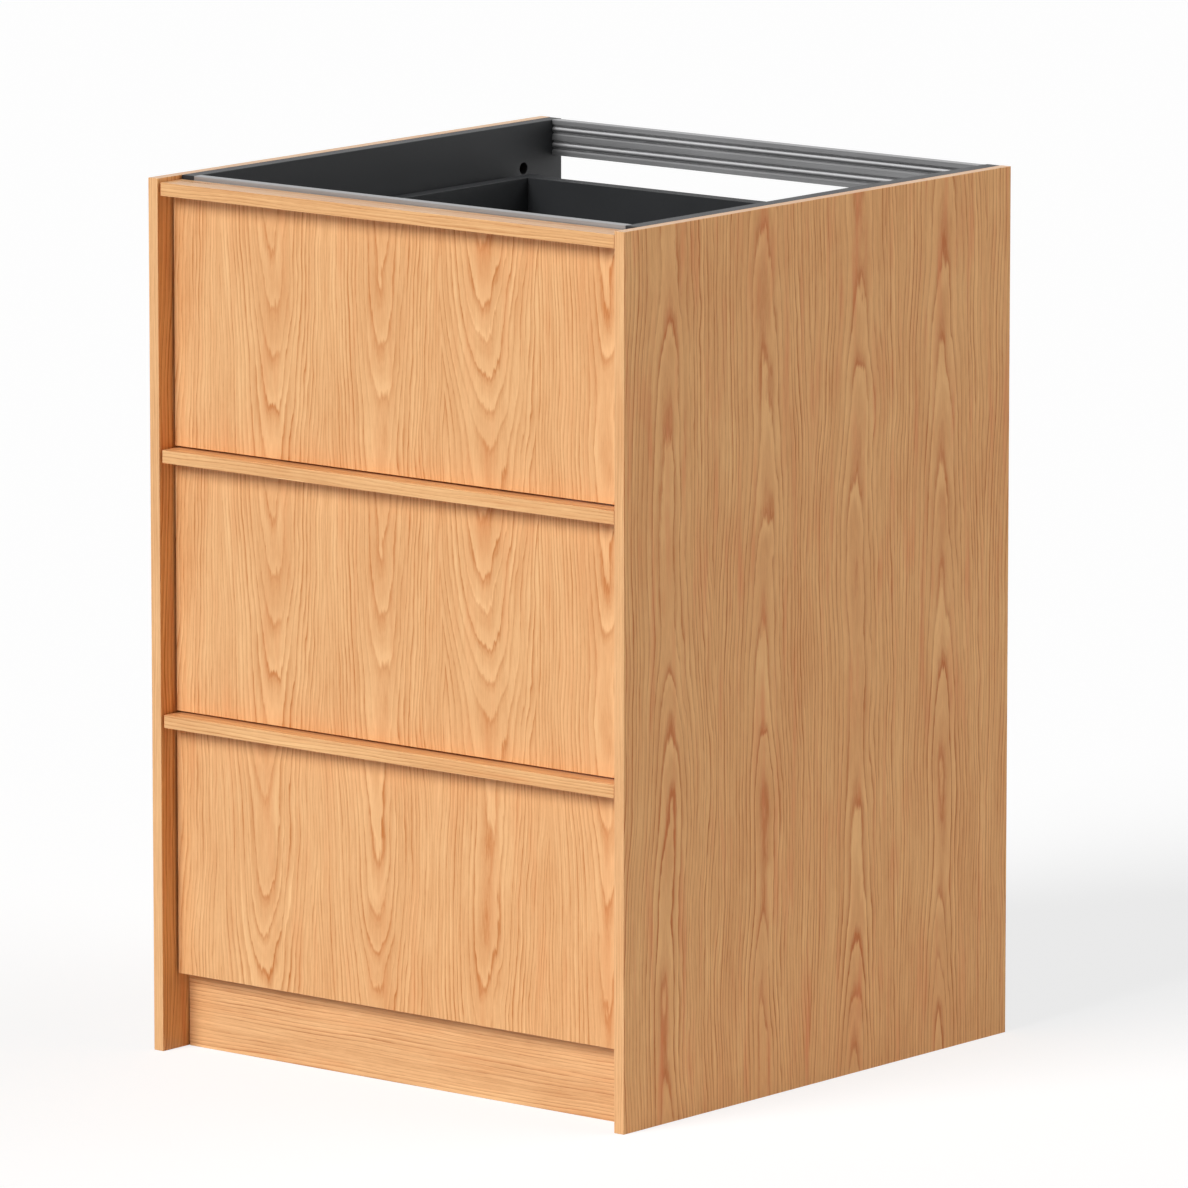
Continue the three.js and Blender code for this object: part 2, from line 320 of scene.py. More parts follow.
def crown_cut_oak(name, turn, origin, leaves, seed, tone):
    """Veneer leaves side by side, sliced flat near the heart of the log, so that its rings
    close in long plumes. A leaf is its middle across the board, how far from the heart it is
    cut at the origin, and how much further that gets with each metre along the grain. The
    log isn't straight, so each leaf sways across the board and dips nearer the heart."""
    material, shader = new_material(name)
    place = grain_place(material, turn, origin)
    spots = wire(material, "SeparateXYZ", {0: place}).outputs
    across, along = spots[0], spots[2]
    wobble = streaks(material, place, 0.014, 0.070, seed + 9)
    jag = streaks(material, place, 0.0022, 0.020, seed + 13)
    nearest = aside_least = None
    for order, (middle, start, taper) in enumerate(leaves):
        column = wire(material, "CombineXYZ", {0: order * LEAVES_APART + seed, 2: along})
        bend = wire(
            material, "TexNoise", {"Vector": column.outputs[0], "Scale": 4.0, "Detail": 1.5}
        )
        bend = wire(material, "SeparateColor", {0: bend.outputs["Color"]}).outputs
        aside = add_all(
            material,
            across,
            (1.0, -middle),
            (bend[0], LEAF_SWAY),
            (1.0, -LEAF_SWAY / 2),
            (wobble, 0.0022),
        )
        depth = add_all(
            material,
            start,
            (along, taper),
            (bend[1], LEAF_DIP),
            (1.0, -LEAF_DIP / 2),
            (wobble, 0.0010),
            (jag, 0.0004),
        )
        ring = calc(
            material,
            "SQRT",
            add_all(material, calc(material, "MULTIPLY", depth, depth), (aside, aside)),
        )
        off_axis = calc(material, "ABSOLUTE", aside)
        if nearest is None:
            nearest, aside_least = ring, off_axis
        else:
            nearest = calc(material, "MINIMUM", nearest, ring)
            aside_least = calc(material, "MINIMUM", aside_least, off_axis)
    crown = between(material, aside_least, CROWN_EDGE, CROWN_CORE)
    return oak_finish(material, shader, place, nearest, crown, seed, tone)


def straight_oak(name, turn, seed, tone):
    """Quarter cut oak, for narrow pieces and edge bands: straight, close lines."""
    material, shader = new_material(name)
    place = grain_place(material, turn)
    spots = wire(material, "SeparateXYZ", {0: place}).outputs
    wander = streaks(material, place, 0.03, 0.30, seed + 5, detail=1.0)
    wobble = streaks(material, place, 0.006, 0.060, seed + 9)
    ring = add_all(
        material,
        seed * 0.1,
        (spots[0], 1.0),
        (spots[1], 0.35),
        (wander, 0.0035),
        (wobble, 0.0009),
    )
    return oak_finish(material, shader, place, ring, 0.0, seed, tone)


def add_piece(shape, name, materials, body, slot, *replaced):
    """Makes the shape a piece that rides on the body, in place of the CAD nodes named."""
    mesh = bpy.data.meshes.new(name)
    shape.to_mesh(mesh)
    shape.free()
    for material in materials:
        mesh.materials.append(material)
    piece = bpy.data.objects.new(name, mesh)
    bpy.context.scene.collection.objects.link(piece)
    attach(piece, body)
    if replaced:
        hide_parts(*replaced)


def ease_edges(shape, edges, ease):
    bmesh.ops.bevel(
        shape,
        geom=edges,
        offset=ease,
        segments=2,
        profile=0.5,
        affect="EDGES",
        material=-1,
    )


def eased_board(low, high, ease):
    """A flat board between two corners with its edges eased. Its faces take material 0, 1 or
    2 where they are square to X, Y or Z."""
    shape = bmesh.new()
    bmesh.ops.create_cube(shape, size=1)
    bmesh.ops.scale(shape, vec=high - low, verts=shape.verts)
    bmesh.ops.translate(shape, vec=(low + high) / 2, verts=shape.verts)
    ease_edges(shape, shape.edges[:], ease)
    shape.normal_update()
    for face in shape.faces:
        face.material_index = max(range(3), key=lambda axis: round(abs(face.normal[axis]), 3))
    return shape


def hue(red, green, blue):
    """A colour as the eye sees it, from 0 to 255, made linear."""
    linear = []
    for part in (red, green, blue):
        part /= 255
        linear.append(part / 12.92 if part <= 0.04045 else ((part + 0.055) / 1.055) ** 2.4)
    return (*linear, 1)


UPRIGHT_FRONT = (0, 0, 0)
UPRIGHT_SIDE = (0, 0, math.radians(-90))
LEVEL = (0, math.radians(90), 0)
FRONT_TO_BACK = (math.radians(90), 0, 0)

# The cover veneer's pale, line and red colours are darker and redder than the fronts': painted
# shade, standing in for the warm shade on the cabinet's side.
COVER_TONE_WITH_PAINTED_SHADE = {
    "pale": hue(255, 199, 132),
    "line": hue(195, 109, 42),
    "red": hue(229, 132, 76),
    "ring": 0.0043,
    "contrast": 1.15,
    "blush": 0.62,
}
BAND_TONE = {
    "pale": hue(254, 203, 147),
    "line": hue(206, 143, 90),
    "red": hue(234, 164, 106),
    "ring": 0.0032,
    "contrast": 1.0,
    "blush": 0.38,
}
COVER_LEAVES = (
    (-0.234, 0.016, 0.036),
    (-0.088, 0.014, 0.034),
    (0.058, 0.020, 0.030),
    (0.193, 0.012, 0.038),
    (0.330, 0.016, 0.030),
)
EASE = 0.0005

band_upright = straight_oak("oak band upright", UPRIGHT_FRONT, 2.0, BAND_TONE)
band_level = straight_oak("oak band front to back", FRONT_TO_BACK, 3.0, BAND_TONE)
for hand, seed in (("left", 41.0), ("right", 57.0)):
    # Both cover panels take the cover tone, with its painted shade.
    veneer = crown_cut_oak(
        f"shade painted oak cover {hand}", UPRIGHT_SIDE, (0, 0, 0), COVER_LEAVES, seed, COVER_TONE_WITH_PAINTED_SHADE
    )
    add_piece(
        eased_board(*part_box(f"{hand}_cover_panel"), EASE),
        f"oak_cover_{hand}",
        (veneer, band_upright, band_level),
        "cabinet",
        "oak",
        f"{hand}_cover_panel",
    )

# ---- Carcass ------------------------------------------------------------------------------
# Chipboard, 16 mm thick, faced with anthracite melamine that has a fine pearl texture, and
# edged with a band of the same colour. Dowelled together; each side has one round hole.


def melamine_finish():
    """Anthracite melamine: a fine pearl texture pressed into a faintly uneven print."""
    material, shader = new_material("anthracite board")
    place = wire(material, "TexCoord").outputs["Object"]
    pearl = streaks(material, place, 0.0007, 0.0007, 5.0, detail=1.0)
    print_dots = streaks(material, place, 0.004, 0.004, 10.0)
    haze = streaks(material, place, 0.09, 0.09, 14.0)
    share = add_all(material, 0.5, (pearl, 0.16), (print_dots, 0.12), (haze, 0.20))
    relief = wire(material, "Bump", {"Height": pearl, "Strength": 0.25, "Distance": 0.0002})
    feed(material, shader, {
        "Base Color": tint(material, share, hue(32, 34, 36), hue(44, 45, 47)),
        "Roughness": add_all(material, 0.52, (pearl, 0.05), (haze, 0.05)),
        "Specular IOR Level": 0.34,
        "Normal": relief.outputs[0],
    })
    return material


SHARP = math.radians(35)


def points_of(parts):
    return [part for part in parts if isinstance(part, bmesh.types.BMVert)]


def board_with_hole(low, high, hole, hole_r, ease):
    """A side of the carcass: a ring of faces from the round hole to the board's outline, made
    as thick as the board."""
    middle = Vector((low.x, hole.y, hole.z))
    lay = Matrix.Translation(middle) @ Matrix.Rotation(math.pi / 2, 4, "Y")
    shape = bmesh.new()
    bmesh.ops.create_circle(shape, cap_ends=False, segments=48, radius=hole_r, matrix=lay)
    grown = bmesh.ops.extrude_edge_only(shape, edges=shape.edges[:])["geom"]
    outer = points_of(grown)
    for vert in outer:
        ray = vert.co - middle
        reach = min(
            ((high if part > 0 else low)[axis] - hole[axis]) / part
            for axis, part in ((1, ray.y), (2, ray.z))
            if abs(part) > 1e-9
        )
        vert.co = Vector((low.x, hole.y + ray.y * reach, hole.z + ray.z * reach))
    for y in (low.y, high.y):
        for z in (low.z, high.z):
            corner = Vector((low.x, y, z))
            way = (corner - middle).normalized()
            nearest = max(outer, key=lambda vert: (vert.co - middle).normalized() @ way)
            nearest.co = corner
    slab = bmesh.ops.extrude_face_region(shape, geom=shape.faces[:])["geom"]
    bmesh.ops.translate(shape, vec=(high.x - low.x, 0, 0), verts=points_of(slab))
    bmesh.ops.recalc_face_normals(shape, faces=shape.faces[:])
    shape.normal_update()
    rims = [edge for edge in shape.edges if edge.calc_face_angle(0) > SHARP]
    ease_edges(shape, rims, ease)
    return shape


def soften(shape):
    """Round surfaces shade smooth, and sharp edges stay sharp."""
    for face in shape.faces:
        face.smooth = True
    for edge in shape.edges:
        edge.smooth = edge.calc_face_angle(0) < SHARP


def kept_mesh(shape, name):
    """The shape as a mesh to be copied many times."""
    mesh = bpy.data.meshes.new(name)
    shape.to_mesh(mesh)
    shape.free()
    return mesh


def copies(*batches):
    """One shape with a copy of each batch's mesh at each of its places."""
    shape = bmesh.new()
    for source, places in batches:
        for place in places:
            start = len(shape.verts)
            shape.from_mesh(source)
            shape.verts.ensure_lookup_table()
            bmesh.ops.transform(shape, matrix=place, verts=shape.verts[start:])
    return shape


HEAD_DOME = ((1.0, 0.35), (0.92, 0.68), (0.74, 0.92), (0.50, 1.0))
SLOT_HALF = 0.12
PIT_TAPER = 0.8
PIT_DEPTH = 0.6


def is_level(face, height):
    return all(abs(vert.co.z - height) < 1e-6 for vert in face.verts)


def cross_head(radius, rise):
    """A screw's head on the plane z = 0: a disc drawn up and in to a dome, then cut four times
    across its crown, where the cross between the cuts is pressed in. The dome's steps and the
    cross are shares of the radius and of the rise."""
    shape = bmesh.new()
    bmesh.ops.create_circle(shape, cap_ends=True, segments=24, radius=radius)
    top, width, level = shape.faces[:], 1.0, 0.0
    for next_width, next_level in HEAD_DOME:
        drawn = bmesh.ops.extrude_face_region(shape, geom=top)["geom"]
        if level > 0:
            bmesh.ops.delete(shape, geom=top, context="FACES")
        top = [part for part in drawn if isinstance(part, bmesh.types.BMFace)]
        ring = points_of(drawn)
        narrower = next_width / width
        bmesh.ops.scale(shape, vec=(narrower, narrower, 1), verts=ring)
        bmesh.ops.translate(shape, vec=(0, 0, (next_level - level) * rise), verts=ring)
        width, level = next_width, next_level

    half_slot = SLOT_HALF * radius
    for axis in (0, 1):
        for sign in (-1, 1):
            across = Vector((0, 0, 0))
            across[axis] = 1
            crown = [face for face in shape.faces if is_level(face, rise)]
            edges = {edge for face in crown for edge in face.edges}
            corners = {vert for face in crown for vert in face.verts}
            bmesh.ops.bisect_plane(
                shape,
                geom=[*crown, *edges, *corners],
                plane_co=sign * half_slot * across,
                plane_no=across,
            )
    cross = [
        face for face in shape.faces
        if is_level(face, rise)
        and min(abs(part) for part in face.calc_center_median().xy) < half_slot
    ]
    pressed = bmesh.ops.extrude_face_region(shape, geom=cross)["geom"]
    bmesh.ops.delete(shape, geom=cross, context="FACES")
    pit = points_of(pressed)
    bmesh.ops.scale(shape, vec=(PIT_TAPER, PIT_TAPER, 1), verts=pit)
    bmesh.ops.translate(shape, vec=(0, 0, -PIT_DEPTH * rise), verts=pit)
    bmesh.ops.recalc_face_normals(shape, faces=shape.faces[:])
    soften(shape)
    return shape


def facing(spot, axis, sign):
    """The place of a screw head that stands on a face at the spot, square to that axis."""
    normal = Vector((0, 0, 0))
    normal[axis] = sign
    turn = normal.to_track_quat("Z", "Y").to_matrix().to_4x4()
    return Matrix.Translation(spot) @ turn


def zinc_finish():
    """Zinc plated steel: faint rolling lines and a soft spangle."""
    material, shader = new_material("zinced steel")
    place = grain_place(material, FRONT_TO_BACK)
    lines = streaks(material, place, 0.0008, 0.20, 3.0)
    spangle = streaks(material, place, 0.004, 0.006, 7.0)
    share = add_all(material, 0.5, (lines, 0.2), (spangle, 0.25))
    feed(material, shader, {
        "Base Color": tint(material, share, hue(150, 154, 158), hue(186, 188, 190)),
        "Metallic": 1.0,
        "Roughness": add_all(material, 0.38, (lines, 0.06), (spangle, 0.08)),
    })
    return material


HOLE_R = 0.006
HOLE_DROP = 0.045
HOLE_IN = 0.060
BOARD_EASE = 0.0004

board_face = melamine_finish()
for hand in ("left", "right"):
    low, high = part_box(f"{hand}_side_panel")
    hole = Vector((0, high.y - HOLE_IN, high.z - HOLE_DROP))
    add_piece(
        board_with_hole(low, high, hole, HOLE_R, BOARD_EASE),
        f"carcass_side_{hand}",
        (board_face,),
        "cabinet",
        "anthracite_board",
        f"{hand}_side_panel",
    )
for node, name in (("bottom_panel", "carcass_bottom"), ("rear_brace", "carcass_rear_brace")):
    add_piece(
        eased_board(*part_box(node), BOARD_EASE),
        name,
        (board_face,) * 3,
        "cabinet",
        "anthracite_board",
        node,
    )

# Screws from inside the carcass hold the cover panels, clear of the runners and the drawers.

PANEL_SCREW_R = 0.0042
PANEL_SCREW_RISE = 0.0020
PANEL_SCREW_DEPTHS = (-0.21, 0.21)
PANEL_SCREW_HEIGHTS = (0.305, 0.569, 0.760)

zinc = zinc_finish()
panel_screw = kept_mesh(cross_head(PANEL_SCREW_R, PANEL_SCREW_RISE), "panel screw head")
for hand, sign in (("left", -1), ("right", 1)):
    low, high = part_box(f"{hand}_side_panel")
    inner = high.x if sign < 0 else low.x
    places = [
        facing((inner, depth, height), 0, -sign)
        for depth in PANEL_SCREW_DEPTHS
        for height in PANEL_SCREW_HEIGHTS
    ]
    add_piece(
        copies((panel_screw, places)),
        f"panel_screws_{hand}",
        (zinc,),
        "cabinet",
        "zinced_steel",
    )

# ---- Rails --------------------------------------------------------------------------------
# Two lengths of satin aluminium extrusion between the carcass sides, screwed through them.
# The die leaves fine lines along their length.

GROOVE_DROPS = (0.010, 0.026)
GROOVE_HALF = 0.0054
RIB_HALF = 0.0032
RIB_ROOT = 0.0026
RIB_RISE = 0.0025
RIB_STEPS = 20
RAIL_EASE = 0.0003
RAILS = (
    {"node": "front_rail", "name": "aluminium_rail_front", "grooves_face_rear": True},
    {"node": "rear_rail", "name": "aluminium_rail_rear", "grooves_face_rear": False},
)


def aluminium_finish():
    """Satin aluminium with the die's lines along it."""
    material, shader = new_material("satin aluminium")
    place = grain_place(material, LEVEL)
    lines = streaks(material, place, 0.0005, 0.40, 3.0)
    wide_lines = streaks(material, place, 0.003, 0.60, 7.0)
    haze = streaks(material, place, 0.03, 0.10, 13.0)
    share = add_all(material, 0.5, (lines, 0.25), (wide_lines, 0.2), (haze, 0.15))
    relief = wire(material, "Bump", {"Height": lines, "Strength": 0.2, "Distance": 0.0001})
    feed(material, shader, {
        "Base Color": tint(material, share, hue(143, 143, 144), hue(167, 167, 168)),
        "Metallic": 1.0,
        "Roughness": add_all(material, 0.50, (lines, 0.08), (haze, 0.04)),
        "Normal": relief.outputs[0],
    })
    return material


def section_run(section, across, along, start, end):
    """The section, in points of (across, height), run along the other level axis."""
    shape = bmesh.new()
    outline = []
    for aside, height in section:
        point = Vector((0, 0, height))
        point[across] = aside
        point[along] = start
        outline.append(shape.verts.new(point))
    run = bmesh.ops.extrude_face_region(shape, geom=[shape.faces.new(outline)])["geom"]
    shift = Vector((0, 0, 0))
    shift[along] = end - start
    bmesh.ops.translate(shape, vec=shift, verts=points_of(run))
    bmesh.ops.recalc_face_normals(shape, faces=shape.faces[:])
    return shape


def rail_section(grooved, plain, top, bottom):
    """The extrusion's outline in (y, height). Its two grooves have bevelled lips and a half
    round rib each; the corners are eased."""
    way = 1 if plain > grooved else -1
    points = [(grooved + way * RAIL_EASE, top), (grooved, top - RAIL_EASE)]
    for drop in GROOVE_DROPS:
        middle = top - drop
        points.append((grooved, middle + GROOVE_HALF))
        for step in range(RIB_STEPS + 1):
            angle = math.pi * step / RIB_STEPS
            points.append((
                grooved + way * (RIB_ROOT - RIB_RISE * math.sin(angle)),
                middle + RIB_HALF * math.cos(angle),
            ))
        points.append((grooved, middle - GROOVE_HALF))
    points += [
        (grooved, bottom + RAIL_EASE),
        (grooved + way * RAIL_EASE, bottom),
        (plain - way * RAIL_EASE, bottom),
        (plain, bottom + RAIL_EASE),
        (plain, top - RAIL_EASE),
        (plain - way * RAIL_EASE, top),
    ]
    return points


aluminium = aluminium_finish()
for setting in RAILS:
    low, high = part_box(setting["node"])
    grooved, plain = (high.y, low.y) if setting["grooves_face_rear"] else (low.y, high.y)
    rail = section_run(rail_section(grooved, plain, high.z, low.z), 1, 0, low.x, high.x)
    soften(rail)
    add_piece(
        rail, setting["name"], (aluminium,), "cabinet", "aluminium", setting["node"]
    )

# ---- Plinth -------------------------------------------------------------------------------
# An oak veneered board with its grain level and its ends banded. It is set back under the
# lowest front, and two clips on the front feet hold it.

PLINTH_TONE = {
    "pale": hue(254, 205, 149),
    "line": hue(192, 124, 73),
    "red": hue(228, 154, 98),
    "ring": 0.0038,
    "contrast": 1.0,
    "blush": 0.38,
}

plinth_oak = straight_oak("oak plinth", LEVEL, 23.0, PLINTH_TONE)
add_piece(
    eased_board(*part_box("plinth_board"), EASE),
    "oak_plinth",
    (band_upright, plinth_oak, plinth_oak),
    "cabinet",
    "oak",
    "plinth_board",
)

# ---- Feet and clips -----------------------------------------------------------------------
# Black moulded plastic: a socket under each corner of the carcass, a screw leg in it, and on
# the two front ones a clip that holds the plinth.


def plastic_finish():
    """Black moulding with fine pits from the tool."""
    material, shader = new_material("black plastic")
    place = wire(material, "TexCoord").outputs["Object"]
    pits = streaks(material, place, 0.0006, 0.0006, 3.0, detail=1.0)
    flow = streaks(material, place, 0.02, 0.02, 9.0)
    share = add_all(material, 0.5, (flow, 0.4))
    relief = wire(material, "Bump", {"Height": pits, "Strength": 0.3, "Distance": 0.0002})
    feed(material, shader, {
        "Base Color": tint(material, share, hue(24, 24, 25), hue(36, 36, 38)),
        "Roughness": add_all(material, 0.5, (pits, 0.06), (flow, 0.05)),
        "Normal": relief.outputs[0],
    })
    return material


def turned(profile, steps):
    """A profile of (radius, height) turned once round Z, closed where it meets the axis."""
    shape = bmesh.new()
    points = [shape.verts.new((radius, 0, height)) for radius, height in profile]
    edges = [shape.edges.new(pair) for pair in zip(points, points[1:])]
    bmesh.ops.spin(
        shape,
        geom=points + edges,
        cent=(0, 0, 0),
        axis=(0, 0, 1),
        angle=2 * math.pi,
        steps=steps,
        use_merge=True,
    )
    bmesh.ops.remove_doubles(shape, verts=shape.verts[:], dist=1e-6)
    bmesh.ops.recalc_face_normals(shape, faces=shape.faces[:])
    soften(shape)
    return shape


def ring_of(count, first=0.0):
    """Turns round Z, evenly spaced from the first, in degrees."""
    angles = [first + 360 * i / count for i in range(count)]
    return [Matrix.Rotation(math.radians(angle), 4, "Z") for angle in angles]


PAD_R = 0.026
PAD_GRIPS = 12
GRIP_HALF = 0.0008
STEM_R = 0.010
STEM_LOW = 0.012
STEM_TOP = 0.060
STEM_EASE = 0.001
THREAD_DEPTH = 0.0009
THREAD_FLANK = 0.0009
THREAD_FLOOR = 0.0003
THREAD_PITCH = 0.0028
THREAD_LOW = 0.0135
THREADS = 15
SLEEVE_R = 0.016
BORE_R = 0.0105
SLEEVE_LOW = 0.036
PLATE_R = 0.030
PLATE_LOW = 0.076
PLATE_TOP = 0.080
MOULD_EASE = 0.0006
MOULD_FILLET = 0.0010
GUSSETS = 8
GUSSET_HALF = 0.0009
GUSSET_IN = 0.0155
GUSSET_OUT = 0.0285
GUSSET_LOW = 0.0655
GUSSET_LIP = 0.0740
GUSSET_TOP = 0.0762
FOOT_SCREWS = 4
FOOT_SCREW_R = 0.0034
FOOT_SCREW_RISE = 0.0018
FOOT_SCREW_CIRCLE = 0.0235
CLIP_WALL = 0.003
CLIP_SCREW_ASIDE = 0.013
CLIP_SCREW_HEIGHT = 0.056

leg_profile = [
    (0, 0), (0.0244, 0), (0.0254, 0.0003), (PAD_R, 0.0012), (PAD_R, 0.0044), (0.0254, 0.0052),
    (0.0138, 0.0114), (0.0128, STEM_LOW), (STEM_R, STEM_LOW),
]
for thread in range(THREADS):
    start = THREAD_LOW + thread * THREAD_PITCH
    leg_profile += [
        (STEM_R, start),
        (STEM_R - THREAD_DEPTH, start + THREAD_FLANK),
        (STEM_R - THREAD_DEPTH, start + THREAD_FLANK + THREAD_FLOOR),
        (STEM_R, start + 2 * THREAD_FLANK + THREAD_FLOOR),
    ]
leg_profile += [
    (STEM_R, STEM_TOP - STEM_EASE), (STEM_R - STEM_EASE, STEM_TOP), (0, STEM_TOP),
]
leg_body = kept_mesh(turned(leg_profile, steps=40), "leg body")
grip_section = [
    (0.0140, 0.0106), (0.0245, 0.0050), (0.0252, 0.0056), (0.0242, 0.0066), (0.0150, 0.0115),
]
pad_grip = kept_mesh(section_run(grip_section, 0, 1, -GRIP_HALF, GRIP_HALF), "pad grip")
socket_profile = [
    (0, PLATE_LOW),
    (BORE_R, PLATE_LOW),
    (BORE_R, SLEEVE_LOW + MOULD_EASE),
    (BORE_R + MOULD_EASE, SLEEVE_LOW),
    (SLEEVE_R - MOULD_EASE, SLEEVE_LOW),
    (SLEEVE_R, SLEEVE_LOW + MOULD_EASE),
    (SLEEVE_R, PLATE_LOW - MOULD_FILLET),
    (SLEEVE_R + MOULD_FILLET, PLATE_LOW),
    (PLATE_R - MOULD_EASE, PLATE_LOW),
    (PLATE_R, PLATE_LOW + MOULD_EASE),
    (PLATE_R, PLATE_TOP),
    (0, PLATE_TOP),
]
socket_body = kept_mesh(turned(socket_profile, steps=48), "socket body")
gusset_section = [
    (GUSSET_IN, GUSSET_LOW),
    (GUSSET_OUT, GUSSET_LIP),
    (GUSSET_OUT, GUSSET_TOP),
    (GUSSET_IN, GUSSET_TOP),
]
gusset = kept_mesh(section_run(gusset_section, 0, 1, -GUSSET_HALF, GUSSET_HALF), "gusset")
foot_screw = kept_mesh(cross_head(FOOT_SCREW_R, FOOT_SCREW_RISE), "foot screw head")

# The clips keep the shape that the CAD gives them, and get their finish.
plastic = plastic_finish()
for hand in ("left", "right"):
    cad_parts[f"plinth_clip_{hand}"].material_slots[0].material = plastic

for row in ("front", "rear"):
    for hand in ("left", "right"):
        low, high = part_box(f"foot_socket_{row}_{hand}")
        foot = Matrix.Translation(((low.x + high.x) / 2, (low.y + high.y) / 2, 0))
        leg = copies(
            (leg_body, [foot]),
            (pad_grip, [foot @ turn for turn in ring_of(PAD_GRIPS)]),
        )
        add_piece(
            leg,
            f"levelling_leg_{row}_{hand}",
            (plastic,),
            f"leg_{row}_{hand}",
            "black_plastic",
            f"foot_leg_{row}_{hand}",
        )
        socket = copies(
            (socket_body, [foot]),
            (gusset, [foot @ turn for turn in ring_of(GUSSETS, 180 / GUSSETS)]),
        )
        add_piece(
            socket,
            f"levelling_socket_{row}_{hand}",
            (plastic,),
            "cabinet",
            "black_plastic",
            f"foot_socket_{row}_{hand}",
        )
        under = facing((FOOT_SCREW_CIRCLE, 0, PLATE_LOW), 2, -1)
        places = [foot @ turn @ under for turn in ring_of(FOOT_SCREWS, 180 / FOOT_SCREWS)]
        if row == "front":
            clip_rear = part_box("plinth_board")[1].y + CLIP_WALL
            middle = (low.x + high.x) / 2
            places += [
                facing((middle + aside, clip_rear, CLIP_SCREW_HEIGHT), 1, 1)
                for aside in (-CLIP_SCREW_ASIDE, CLIP_SCREW_ASIDE)
            ]
        add_piece(
            copies((foot_screw, places)),
            f"foot_screws_{row}_{hand}",
            (zinc,),
            "cabinet",
            "zinced_steel",
        )

# ---- Runners ------------------------------------------------------------------------------
# Zinc plated steel, pressed into channels that run in each other on balls. The cabinet member
# is screwed to the carcass side, the drawer member to the drawer side.

BALL_R = 0.00135
BALLS = 15
BALL_PITCH = 0.0085
BALL_ROWS = (
    {"from_side": 0.0060, "height": 0.01965, "start": 0.105},
    {"from_side": 0.0080, "height": 0.01540, "start": -0.252},
)
CAGE_HALF_WIDTH = 0.0010
CAGE_HALF_HEIGHT = 0.0005
CAGE_EASE = 0.0002
CHANNEL_WALL = 0.0014
RUNNER_SCREW_R = 0.0036
RUNNER_SCREW_RISE = 0.0009
RUNNER_SCREW_DEPTHS = (-0.225, -0.010, 0.200)

# So do the runners' members.
for node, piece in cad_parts.items():
    if "_runner_" in node:
        piece.material_slots[0].material = zinc

ball_shape = bmesh.new()
bmesh.ops.create_uvsphere(ball_shape, u_segments=8, v_segments=5, radius=BALL_R)
soften(ball_shape)
ball = kept_mesh(ball_shape, "ball")
cage_shape = eased_board(
    Vector((-CAGE_HALF_WIDTH, -BALL_PITCH / 2, -CAGE_HALF_HEIGHT)),
    Vector((CAGE_HALF_WIDTH, BALL_PITCH * (BALLS - 0.5), CAGE_HALF_HEIGHT)),
    CAGE_EASE,
)
for face in cage_shape.faces:
    face.material_index = 1  # plastic, where the balls are zinc
cage = kept_mesh(cage_shape, "ball cage")
flat_screw = kept_mesh(cross_head(RUNNER_SCREW_R, RUNNER_SCREW_RISE), "runner screw head")

for number in (1, 2, 3):
    ball_places, cage_places = [], []
    cabinet_screws, drawer_screws = [], []
    for hand, sign in (("left", -1), ("right", 1)):
        low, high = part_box(f"cabinet_runner_{number}_{hand}")
        middle = (low.z + high.z) / 2
        side = low.x if sign < 0 else high.x
        for row in BALL_ROWS:
            for upward in (-1, 1):
                spot = Vector((
                    side - sign * row["from_side"],
                    row["start"],
                    middle + upward * row["height"],
                ))
                cage_places.append(Matrix.Translation(spot))
                ball_places += [
                    Matrix.Translation(spot + Vector((0, i * BALL_PITCH, 0)))
                    for i in range(BALLS)
                ]
        web = side - sign * CHANNEL_WALL
        drawer_low, drawer_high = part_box(f"drawer_runner_{number}_{hand}")
        inner_web = (drawer_high.x if sign < 0 else drawer_low.x) + sign * CHANNEL_WALL
        for depth in RUNNER_SCREW_DEPTHS:
            cabinet_screws.append(facing((web, depth, middle), 0, -sign))
            drawer_screws.append(facing((inner_web, depth, middle), 0, sign))
    add_piece(
        copies((ball, ball_places), (cage, cage_places)),
        f"runner_balls_{number}",
        (zinc, plastic),
        f"middle_runners_{number}",
        "zinced_steel",
    )
    for name, body, places in (
        (f"runner_screws_{number}_cabinet", "cabinet", cabinet_screws),
        (f"runner_screws_{number}_drawer", f"drawer_{number}", drawer_screws),
    ):
        add_piece(copies((flat_screw, places)), name, (zinc,), body, "zinced_steel")

# ---- Drawers ------------------------------------------------------------------------------
# Three alike: a box of anthracite board with a grooved-in bottom, an oak front with its grain
# upright screwed to it, and an oak ledge glued on the front's top edge to pull it by.

FRONT_TONE = {
    "pale": hue(253, 203, 146),
    "line": hue(197, 119, 56),
    "red": hue(230, 153, 97),
    "ring": 0.0035,
    "contrast": 1.02,
    "blush": 0.38,
}
LEDGE_TONE = {
    "pale": hue(255, 205, 146),
    "line": hue(198, 129, 73),
    "red": hue(232, 158, 100),
    "ring": 0.0034,
    "contrast": 1.0,
    "blush": 0.38,
}
FRONT_LEAVES = (
    (-0.298, 0.032, -0.044),
    (-0.159, 0.044, -0.048),
    (-0.018, 0.039, -0.045),
    (0.113, 0.074, -0.066),
    (0.259, 0.036, -0.045),
)
LOW_FRONT_LEAVES = (
    (-0.300, 0.032, -0.044),
    (-0.172, 0.052, -0.056),
    (-0.028, 0.038, -0.045),
    (0.113, 0.038, -0.045),
    (0.261, 0.041, -0.048),
)
DRAWERS = (
    {"number": 1, "leaves": FRONT_LEAVES, "seed": 71.0},
    {"number": 2, "leaves": FRONT_LEAVES, "seed": 71.0},
    {"number": 3, "leaves": LOW_FRONT_LEAVES, "seed": 88.0},
)
GROOVE_DEPTH = 0.008
GROOVE_LOW = 0.0118
GROOVE_HIGH = 0.0202
